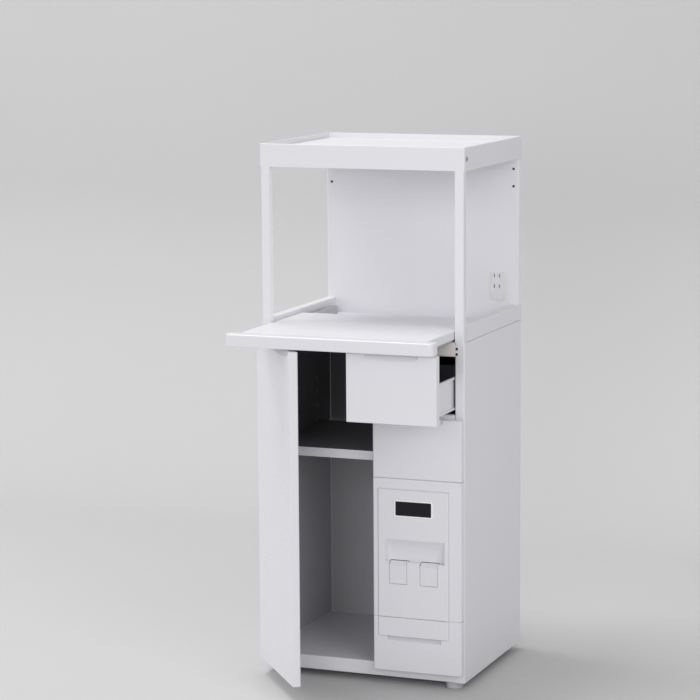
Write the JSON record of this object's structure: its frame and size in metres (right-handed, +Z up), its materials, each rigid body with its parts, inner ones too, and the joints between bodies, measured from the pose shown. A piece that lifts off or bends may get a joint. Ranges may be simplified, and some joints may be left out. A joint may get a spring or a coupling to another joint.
{
  "type": "microwave stand",
  "caption": "White steel kitchen stand with an appliance bay, slide-out tray, drawer, hinged cupboard door and a rice stocker with push paddles over a pull-out receiver.",
  "frame": {"origin": "on the floor, under the middle of the box round the object with its tray, drawer and door open as pictured", "axes": "+X to the right seen from the front, +Y towards the back, +Z up"},
  "size_m": [0.4882, 0.6235, 1.207],
  "materials": {
    "case_paint": "satin",
    "rail_paint": "satin",
    "front_white": "gloss",
    "button_white": "gloss",
    "window_dark": "gloss",
    "inner_plastic": "matte",
    "steel": "satin",
    "screw_dark": "satin",
    "foot_grey": "matte",
    "outlet_ivory": "satin"
  },
  "bodies": {
    "cabinet": {"top_shelf": "case_paint", "shelf_bolts": "steel", "front_post_left": "case_paint", "front_post_right": "case_paint", "upper_back_panel": "case_paint", "back_screws": "screw_dark", "outlet_plate": "outlet_ivory", "outlet_body": "outlet_ivory", "deck_rail_left": "case_paint", "deck_rail_right": "case_paint", "deck_panel": "case_paint", "slide_fixed_left": "steel", "slide_fixed_right": "steel", "side_panel_left": "case_paint", "side_panel_right": "case_paint", "bottom_panel": "case_paint", "lower_back_panel": "case_paint", "partition": "case_paint", "cross_rail": "rail_paint", "rail_screws": "screw_dark", "drawer_rail": "case_paint", "drawer_guide_left": "steel", "drawer_guide_right": "steel", "cupboard_shelf": "case_paint", "shelf_pins": "steel", "door_hinge_upper": "steel", "door_hinge_lower": "steel", "magnet_catch": "inner_plastic", "dispenser_panel": "front_white", "level_window": "window_dark", "paddle_pins": "steel", "spring_left": "steel", "spring_right": "steel", "hopper": "inner_plastic", "hopper_brackets": "steel", "metering_block": "inner_plastic", "rice_chute": "inner_plastic", "receiver_guides": "inner_plastic", "foot_front_left": "foot_grey", "foot_front_right": "foot_grey", "foot_rear_left": "foot_grey", "foot_rear_right": "foot_grey"},
    "slide_tray": {"tray_plate": "case_paint", "tray_front_bar": "front_white", "slide_moving_left": "steel", "slide_moving_right": "steel"},
    "drawer": {"drawer_front": "front_white", "drawer_box": "case_paint"},
    "door": {"door_panel": "front_white", "door_strike": "steel"},
    "flap": {"fill_flap": "front_white", "flap_pins": "steel", "fill_chute": "inner_plastic"},
    "receiver": {"receiver_front": "front_white", "receiver_box": "inner_plastic"},
    "button_left": {"paddle_left": "button_white"},
    "button_right": {"paddle_right": "button_white"},
    "gate_slide_left": {"gate_left": "inner_plastic"},
    "gate_slide_right": {"gate_right": "inner_plastic"}
  },
  "joints": [
    {"name": "tray_slide", "type": "slide", "parent": "cabinet", "child": "slide_tray", "axis": [0, -1, 0], "range_m": [-0.175, 0.025]},
    {"name": "drawer_slide", "type": "slide", "parent": "cabinet", "child": "drawer", "axis": [0, -1, 0], "range_m": [-0.16, 0.1]},
    {"name": "door_hinge", "type": "hinge", "parent": "cabinet", "child": "door", "pos_m": [-0.234, -0.09595, 0.4], "axis": [0, 0, -1], "range_deg": [-51.5, 48.5]},
    {"name": "flap_hinge", "type": "hinge", "parent": "cabinet", "child": "flap", "pos_m": [0.136, -0.10495, 0.4832], "axis": [1, 0, 0], "range_deg": [0, 35]},
    {"name": "receiver_slide", "type": "slide", "parent": "cabinet", "child": "receiver", "axis": [0, -1, 0], "range_m": [0, 0.2]},
    {"name": "button_left_press", "type": "hinge", "parent": "cabinet", "child": "button_left", "pos_m": [0.0915, -0.10545, 0.2425], "axis": [-1, 0, 0], "range_deg": [0, 15], "stiffness_Nm_per_rad": 0.6, "springref_deg": -5.73, "deforming": ["spring_left"]},
    {"name": "button_right_press", "type": "hinge", "parent": "cabinet", "child": "button_right", "pos_m": [0.1635, -0.10545, 0.2425], "axis": [-1, 0, 0], "range_deg": [0, 15], "stiffness_Nm_per_rad": 0.6, "springref_deg": -5.73, "deforming": ["spring_right"]},
    {"name": "gate_left_slide", "type": "slide", "parent": "cabinet", "child": "gate_slide_left", "axis": [0, 1, 0], "range_m": [0, 0.0195]},
    {"name": "gate_right_slide", "type": "slide", "parent": "cabinet", "child": "gate_slide_right", "axis": [0, 1, 0], "range_m": [0, 0.0195]}
  ],
  "couplings": [
    {"joint": "gate_left_slide", "follows": "button_left_press", "m_per_rad": 0.0741},
    {"joint": "gate_right_slide", "follows": "button_right_press", "m_per_rad": 0.0741}
  ]
}
